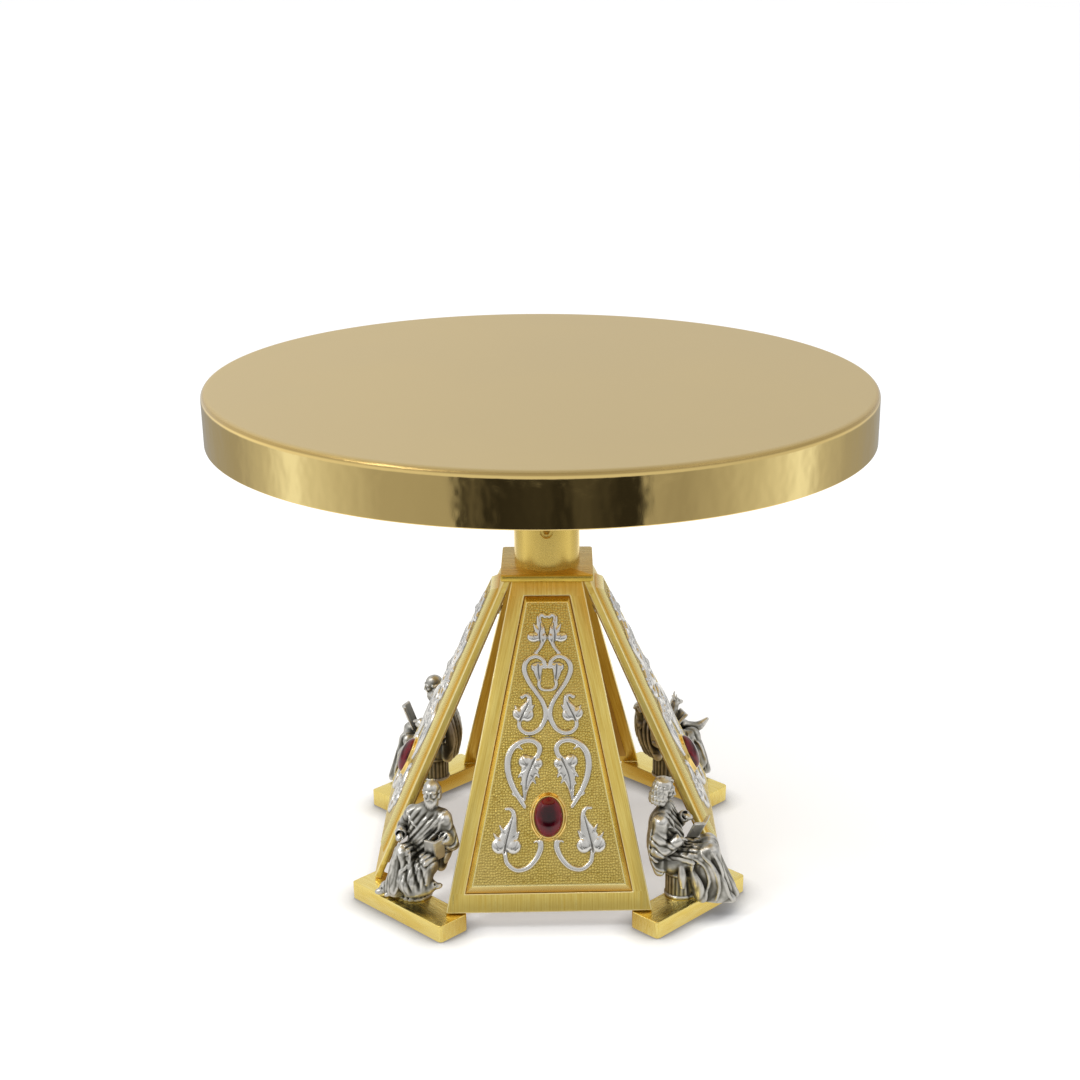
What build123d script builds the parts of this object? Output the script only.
from build123d import *
import os
from math import atan2, cos, degrees, radians, sin, sqrt

os.makedirs("parts", exist_ok=True)

# Exposition throne (thabor): a round turning plate on a neck, carried by four
# leaning relief frames that stand on four foot bars with seated figures.
# Millimetres. Z is up, the floor is z = 0, the front frame faces -Y.

# ---- driving dimensions -------------------------------------------------
PLATE_R = 150.0          # round top plate
PLATE_TOP = 235.0
SKIRT = 23.0             # depth of the turned-down rim
SHEET = 2.0
EDGE_R = 3.0

SQUARE = 42.4            # square plate under the neck
SQUARE_T = 3.0
SQUARE_TOP = 149.0

NECK_R = 15.1
NECK_TOP = 228.0
SHAFT_R = 10.0
BORE_R = 10.05           # running fit on the shaft
BORE_FLOOR = 155.0
SCREW_Z = 167.5          # retaining screw and its groove
SCREW_R = 2.9
GROOVE_R = 8.0
WASHER_T = 1.0
FLANGE_R = 40.0

FRAME_FOOT_D = 82.0      # outer face to axis at FRAME_FOOT_Z
FRAME_FOOT_Z = 8.8
FRAME_HEAD_D = 19.4      # outer face to axis under the square plate
FRAME_FOOT_W = 46.5      # half widths
FRAME_HEAD_W = 16.0
FRAME_T = 3.2
FRAME_CUT = 0.6          # where the foot edge is cut square to the frame

WIN_LOW, WIN_LOW_W = 9.3, 37.7       # window in the frame: height along the slope, half width
WIN_TOP, WIN_TOP_W = 143.8, 10.3
PANEL_GAP = 0.3
FACE_LOW, FACE_LOW_W = 12.7, 34.6    # flat of the raised panel
FACE_TOP, FACE_TOP_W = 140.9, 9.3
PANEL_RISE = 2.8

STONE_S = 43.6           # cabochon centre along the slope
STONE_W, STONE_H = 13.0, 18.0
BEZEL_WALL = 0.8
BEZEL_RISE = 1.8
DOME = 3.9

BAR_L, BAR_W, BAR_T = 61.5, 16.8, 8.4
BAR_D = 91.0             # bar centre line to axis, along the diagonal
BAR_CORNER = 2.0

SCROLL_T = 0.9

# ---- derived ------------------------------------------------------------
SQUARE_BOT = SQUARE_TOP - SQUARE_T
PLATE_UNDER = PLATE_TOP - SHEET
SLOPE = sqrt((FRAME_FOOT_D - FRAME_HEAD_D) ** 2 + (SQUARE_BOT - FRAME_FOOT_Z) ** 2)
LEAN = atan2(FRAME_FOOT_D - FRAME_HEAD_D, SQUARE_BOT - FRAME_FOOT_Z)
SIDES = ("front", "right", "back", "left")
CORNERS = ("front_right", "back_right", "back_left", "front_left")

# Leaning face planes: local x across, local y up the slope, local z outwards.
faces = {}
for i, side in enumerate(SIDES):
    a = radians(90 * i)
    faces[side] = Plane(
        origin=(FRAME_FOOT_D * sin(a), -FRAME_FOOT_D * cos(a), FRAME_FOOT_Z),
        x_dir=(cos(a), sin(a), 0),
        z_dir=(sin(a) * cos(LEAN), -cos(a) * cos(LEAN), sin(LEAN)),
    )

# Corner planes at floor level: local x points outwards along the diagonal.
corners = {}
for i, corner in enumerate(CORNERS):
    a = radians(90 * i - 45)
    corners[corner] = Plane(
        origin=(BAR_D * cos(a), BAR_D * sin(a), 0), x_dir=(cos(a), sin(a), 0), z_dir=(0, 0, 1)
    )

# ---- round plate and the spindle under it -------------------------------
with BuildPart() as plate:
    with BuildSketch(Plane.XZ):
        with BuildLine():
            Polyline(
                (0, PLATE_UNDER),
                (PLATE_R - SHEET, PLATE_UNDER),
                (PLATE_R - SHEET, PLATE_TOP - SKIRT),
                (PLATE_R, PLATE_TOP - SKIRT),
                (PLATE_R, PLATE_TOP - EDGE_R),
            )
            CenterArc((PLATE_R - EDGE_R, PLATE_TOP - EDGE_R), EDGE_R, 0, 90)
            Polyline((PLATE_R - EDGE_R, PLATE_TOP), (0, PLATE_TOP), (0, PLATE_UNDER))
        make_face()
    revolve(axis=Axis.Z)
plate.part.label = "plate"
export_step(plate.part, "parts/plate.step")

with BuildPart() as spindle:
    with BuildSketch(Plane.XZ):
        with BuildLine():
            Polyline(
                (0, 158),
                (SHAFT_R - 1, 158),
                (SHAFT_R, 159),
                (SHAFT_R, SCREW_Z - 3.1),
                (GROOVE_R, SCREW_Z - 3.1),
                (GROOVE_R, SCREW_Z + 3.1),
                (SHAFT_R, SCREW_Z + 3.1),
                (SHAFT_R, NECK_TOP + WASHER_T),
                (FLANGE_R, NECK_TOP + WASHER_T),
                (FLANGE_R, PLATE_UNDER),
                (0, PLATE_UNDER),
                (0, 158),
            )
        make_face()
    revolve(axis=Axis.Z)
spindle.part.label = "spindle"
export_step(spindle.part, "parts/spindle.step")

# ---- neck, its screw, washer and fixing bolt ----------------------------
with BuildPart() as neck:
    with BuildSketch(Plane.XY.offset(SQUARE_TOP)):
        Circle(NECK_R)
    extrude(amount=NECK_TOP - SQUARE_TOP)
    with BuildSketch(Plane.XY.offset(BORE_FLOOR)):
        Circle(BORE_R)
    extrude(amount=NECK_TOP - BORE_FLOOR, mode=Mode.SUBTRACT)
    with BuildSketch(Plane.XY.offset(SQUARE_TOP)):
        Circle(4.0)
    extrude(amount=BORE_FLOOR - SQUARE_TOP, mode=Mode.SUBTRACT)
    with BuildSketch(Plane.XZ.offset(6)):
        with Locations((0, SCREW_Z)):
            Circle(SCREW_R)
    extrude(amount=12, mode=Mode.SUBTRACT)
neck.part.label = "neck"
export_step(neck.part, "parts/neck.step")

with BuildPart() as retaining_screw:
    with BuildSketch(Plane.XZ.offset(GROOVE_R + 0.3)):
        with Locations((0, SCREW_Z)):
            Circle(SCREW_R)
    extrude(amount=5.4)
    with BuildSketch(Plane.XZ.offset(GROOVE_R + 5.7)):
        with Locations((0, SCREW_Z)):
            RegularPolygon(1.6, 6)
    extrude(amount=-2.5, mode=Mode.SUBTRACT)
retaining_screw.part.label = "retaining_screw"
export_step(retaining_screw.part, "parts/retaining_screw.step")

with BuildPart() as thrust_washer:
    with BuildSketch(Plane.XY.offset(NECK_TOP)):
        Circle(NECK_R)
        Circle(SHAFT_R + 0.4, mode=Mode.SUBTRACT)
    extrude(amount=WASHER_T)
thrust_washer.part.label = "thrust_washer"
export_step(thrust_washer.part, "parts/thrust_washer.step")

with BuildPart() as square_plate:
    with BuildSketch(Plane.XY.offset(SQUARE_BOT)):
        RectangleRounded(SQUARE, SQUARE, 1.5)
        Circle(4.2, mode=Mode.SUBTRACT)
    extrude(amount=SQUARE_T)
    chamfer(square_plate.faces().sort_by(Axis.Z)[-1].outer_wire().edges(), 0.3)
square_plate.part.label = "square_plate"
export_step(square_plate.part, "parts/square_plate.step")

with BuildPart() as neck_washer:
    with BuildSketch(Plane.XY.offset(SQUARE_BOT - 1.6)):
        Circle(8.2)
        Circle(4.2, mode=Mode.SUBTRACT)
    extrude(amount=1.6)
neck_washer.part.label = "neck_washer"
export_step(neck_washer.part, "parts/neck_washer.step")

with BuildPart() as neck_bolt:
    with BuildSketch(Plane.XY.offset(SQUARE_BOT - 6.9)):
        RegularPolygon(7.5, 6)
    extrude(amount=5.3)
    with BuildSketch(Plane.XY.offset(SQUARE_BOT - 1.6)):
        Circle(4.0)
    extrude(amount=BORE_FLOOR - SQUARE_BOT + 1.0)
neck_bolt.part.label = "neck_bolt"
export_step(neck_bolt.part, "parts/neck_bolt.step")

# ---- outlines shared by the four sides ----------------------------------
frame_pts = [
    (-FRAME_FOOT_W, 0), (FRAME_FOOT_W, 0),
    (FRAME_HEAD_W - 0.6, SLOPE + 3), (-FRAME_HEAD_W + 0.6, SLOPE + 3),
]
window_pts = [
    (-WIN_LOW_W, WIN_LOW), (WIN_LOW_W, WIN_LOW), (WIN_TOP_W, WIN_TOP), (-WIN_TOP_W, WIN_TOP),
]
base_pts = [
    (-WIN_LOW_W + PANEL_GAP, WIN_LOW + PANEL_GAP), (WIN_LOW_W - PANEL_GAP, WIN_LOW + PANEL_GAP),
    (WIN_TOP_W - PANEL_GAP, WIN_TOP - PANEL_GAP), (-WIN_TOP_W + PANEL_GAP, WIN_TOP - PANEL_GAP),
]
face_pts = [
    (-FACE_LOW_W, FACE_LOW), (FACE_LOW_W, FACE_LOW), (FACE_TOP_W, FACE_TOP), (-FACE_TOP_W, FACE_TOP),
]
back_pts = [
    (-WIN_LOW_W - 2, WIN_LOW - 2.5), (WIN_LOW_W + 2, WIN_LOW - 2.5),
    (WIN_TOP_W + 2, WIN_TOP - 2), (-WIN_TOP_W - 2, WIN_TOP - 2),
]
screw_pts = [(-30, 16), (30, 16), (-4, 132), (4, 132)]

# Scrollwork, right-hand half: centre lines of the stems and the leaf ovals.
stems = [
    [(1.2, 130.0), (1.5, 134.0), (4.6, 134.6)],
    [(0.3, 123.5), (3.2, 119.0), (8.6, 115.5), (10.2, 109.0), (7.6, 101.0), (2.2, 93.5), (0.7, 88.0),
     (3.0, 81.5), (8.8, 79.5), (13.2, 84.0)],
    [(2.2, 112.5), (4.6, 115.2), (7.4, 113.8)],
    [(0.0, 101.6), (2.6, 102.6), (4.6, 107.0)],
    [(2.6, 73.5), (4.6, 78.6), (11.5, 78.8), (17.0, 71.5), (17.6, 63.0), (14.0, 54.0), (10.4, 48.6)],
    [(8.6, 53.0), (7.8, 58.0), (6.2, 63.0)],
    [(2.6, 31.6), (4.4, 24.2), (10.6, 19.6), (17.6, 22.6), (19.0, 29.0)],
]
leaves = [
    (4.8, 125.6, 3.9, 2.6, 20), (2.0, 130.0, 1.3, 3.2, 10), (6.2, 129.0, 1.1, 2.4, -35),
    (3.4, 109.0, 2.0, 4.2, -12), (9.6, 90.4, 2.2, 4.4, 25), (14.4, 88.6, 2.0, 3.6, -40),
    (9.0, 96.4, 1.0, 2.6, 20), (6.8, 67.6, 2.4, 5.6, -28), (3.6, 63.6, 1.8, 4.2, 35),
    (9.6, 63.0, 1.6, 5.0, 8), (21.4, 32.6, 2.8, 4.8, -30), (15.6, 32.4, 2.8, 4.6, 20),
    (18.4, 38.6, 2.6, 5.4, 12), (17.0, 45.0, 1.4, 4.2, -20),
]

# ---- frames, relief panels, backings, scrollwork, stones ----------------
for side in SIDES:
    face = faces[side]

    with BuildPart() as frame:
        with BuildSketch(face):
            Polygon(*frame_pts, align=None)
            Polygon(*window_pts, align=None, mode=Mode.SUBTRACT)
        extrude(amount=-FRAME_T)
        split(bisect_by=Plane(origin=face.from_local_coords((0, FRAME_CUT, 0)), z_dir=face.y_dir))
        split(bisect_by=Plane.XY.offset(BAR_T), keep=Keep.TOP)
        split(bisect_by=Plane.XY.offset(SQUARE_BOT), keep=Keep.BOTTOM)
    frame.part.label = f"frame_{side}"
    export_step(frame.part, f"parts/frame_{side}.step")

    with BuildPart() as panel:
        with BuildSketch(face):
            Polygon(*base_pts, align=None)
        extrude(amount=-FRAME_T)
        with BuildSketch(face):
            Polygon(*base_pts, align=None)
        with BuildSketch(face.offset(PANEL_RISE)):
            Polygon(*face_pts, align=None)
        loft()
        with BuildSketch(face.offset(-FRAME_T)):
            with Locations(*screw_pts):
                Circle(1.25)
        extrude(amount=3.0, mode=Mode.SUBTRACT)
    panel.part.label = f"relief_panel_{side}"
    export_step(panel.part, f"parts/relief_panel_{side}.step")

    with BuildPart() as backing:
        with BuildSketch(face.offset(-FRAME_T)):
            Polygon(*back_pts, align=None)
            with Locations(*screw_pts):
                Circle(1.4, mode=Mode.SUBTRACT)
        extrude(amount=-1.2)
    backing.part.label = f"backing_plate_{side}"
    export_step(backing.part, f"parts/backing_plate_{side}.step")

    with BuildPart() as panel_screws:
        with BuildSketch(face.offset(-FRAME_T - 1.2)):
            with Locations(*screw_pts):
                Circle(2.3)
        extrude(amount=-1.5)
        with BuildSketch(face.offset(-FRAME_T - 1.2)):
            with Locations(*screw_pts):
                Circle(1.25)
        extrude(amount=3.7)
    panel_screws.part.label = f"panel_screws_{side}"
    export_step(panel_screws.part, f"parts/panel_screws_{side}.step")

    with BuildPart() as scrollwork:
        with BuildSketch(face.offset(PANEL_RISE)):
            for flip in (1, -1):
                for pts in stems:
                    with BuildLine() as stem:
                        Spline(*[(flip * x, y) for x, y in pts])
                    trace(stem.line, line_width=1.5)
                for x, y, rx, ry, turn in leaves:
                    with Locations(Location((flip * x, y), flip * turn)):
                        Ellipse(rx, ry)
        extrude(amount=SCROLL_T)
    scrollwork.part.label = f"scrollwork_{side}"
    export_step(scrollwork.part, f"parts/scrollwork_{side}.step")

    with BuildPart() as bezel:
        with BuildSketch(face.offset(PANEL_RISE)):
            with Locations((0, STONE_S)):
                Ellipse(STONE_W / 2 + BEZEL_WALL + 0.7, STONE_H / 2 + BEZEL_WALL + 0.7)
        extrude(amount=0.6)
        with BuildSketch(face.offset(PANEL_RISE)):
            with Locations((0, STONE_S)):
                Ellipse(STONE_W / 2 + BEZEL_WALL, STONE_H / 2 + BEZEL_WALL)
        extrude(amount=BEZEL_RISE)
        with BuildSketch(face.offset(PANEL_RISE + 0.5)):
            with Locations((0, STONE_S)):
                Ellipse(STONE_W / 2, STONE_H / 2)
        extrude(amount=BEZEL_RISE, mode=Mode.SUBTRACT)
    bezel.part.label = f"cabochon_bezel_{side}"
    export_step(bezel.part, f"parts/cabochon_bezel_{side}.step")

    with BuildPart() as cabochon:
        with BuildSketch(face.offset(PANEL_RISE + 0.5)):
            with Locations((0, STONE_S)):
                Ellipse(STONE_W / 2, STONE_H / 2)
        extrude(amount=BEZEL_RISE - 0.5)
        for k in range(7):
            t = radians(12 * k)
            with BuildSketch(face.offset(PANEL_RISE + BEZEL_RISE + DOME * sin(t))):
                with Locations((0, STONE_S)):
                    Ellipse(STONE_W / 2 * cos(t), STONE_H / 2 * cos(t))
        loft()
    cabochon.part.label = f"cabochon_{side}"
    export_step(cabochon.part, f"parts/cabochon_{side}.step")

# ---- foot bars and the screws that hold the figures ---------------------
for corner in CORNERS:
    spot = corners[corner]
    with BuildPart() as foot_bar:
        with BuildSketch(spot):
            RectangleRounded(BAR_W, BAR_L, BAR_CORNER)
        extrude(amount=BAR_T)
        chamfer(foot_bar.faces().sort_by(Axis.Z)[-1].outer_wire().edges(), 0.4)
        with BuildSketch(spot):
            Circle(3.1)
        extrude(amount=2.4, mode=Mode.SUBTRACT)
        with BuildSketch(spot):
            Circle(1.6)
        extrude(amount=BAR_T, mode=Mode.SUBTRACT)
    foot_bar.part.label = f"foot_bar_{corner}"
    export_step(foot_bar.part, f"parts/foot_bar_{corner}.step")

    with BuildPart() as figure_screw:
        with BuildSketch(spot.offset(0.6)):
            Circle(2.8)
        extrude(amount=1.8)
        with BuildSketch(spot.offset(2.4)):
            Circle(1.5)
        extrude(amount=BAR_T - 2.4 + 6.0)
    figure_screw.part.label = f"figure_screw_{corner}"
    export_step(figure_screw.part, f"parts/figure_screw_{corner}.step")

# ---- seated figures: one plain body each, facing local +x ---------------
# corner, facing angle, head centre, book centre, book tilt, left hand, right hand
figures = [
    ("front_right", -8, (-12, 0, 52.6), (4.6, -0.5, 33.2), 30, (2, 3.6, 36), (2.4, -4.6, 31)),
    ("back_right", 20, (-16, 0, 41.5), (3.4, 0, 30.4), 30, (1.6, 4.6, 29.5), (1.6, -4.6, 29)),
    ("back_left", 170, (-5, 0, 52.4), (7, 0.6, 34), 30, (5, 4.8, 33), (4.6, -4.6, 31.5)),
    ("front_left", 220, (-11.5, 5, 52.6), (-4.6, 12, 28), 40, (-6.6, 14, 31), (1, -4.6, 28.6)),
]
for corner, turn, head, book, tilt, left_hand, right_hand in figures:
    at = corners[corner].origin
    a = radians(turn)
    seat = Plane(origin=(at.X, at.Y, BAR_T), x_dir=(cos(a), sin(a), 0), z_dir=(0, 0, 1))
    hx, hy, hz = head
    with BuildPart() as figure:
        with BuildSketch(seat):
            with Locations((-4, 0)):
                Circle(6.5)
                with PolarLocations(6.5, 16):
                    Circle(0.5)
        extrude(amount=14)
        for h, x, rx, ry in ((0, 6.0, 13.5, 9.0), (9, 3.5, 11.0, 8.5), (18, -1.0, 11.5, 9.0),
                             (26, -3.0, 11.5, 9.0)):
            with BuildSketch(seat.offset(h)):
                with Locations((x, 0)):
                    Ellipse(rx, ry)
        loft()
        for k, rx, ry in ((0, 7.0, 8.6), (0.35, 7.0, 9.0), (0.7, 6.2, 9.6), (0.88, 5.2, 8.8), (1, 2.8, 3.4)):
            with BuildSketch(seat.offset(16 + k * (hz - 20.5))):
                with Locations((-9 + k * (hx + 9), k * hy)):
                    Ellipse(rx, ry)
        loft()
        with Locations(seat * Location((hx, hy, hz))):
            Sphere(5.4)
        for flip, hand in ((1, left_hand), (-1, right_hand)):
            shoulder = Vector(0.8 * hx - 1.5, 0.8 * hy + flip * 8.4, hz - 12)
            elbow = Vector(0.5 * hx - 3, 0.5 * hy + flip * 9.4, hz * 0.3 + 9)
            for start, end, r in ((shoulder, elbow, 3.3), (elbow, Vector(*hand), 2.6)):
                low, high = seat.from_local_coords(start), seat.from_local_coords(end)
                with Locations(Plane(origin=(low + high) * 0.5, z_dir=high - low)):
                    Cylinder(r, (high - low).length + 2)
        with Locations(seat * Location(book, (0, tilt, 0))):
            Box(2.6, 11.0, 12.0)
        with BuildSketch(corners[corner].offset(BAR_T)):
            Circle(1.5)
        extrude(amount=6.0, mode=Mode.SUBTRACT)
    figure.part.label = f"figure_{corner}"
    export_step(figure.part, f"parts/figure_{corner}.step")
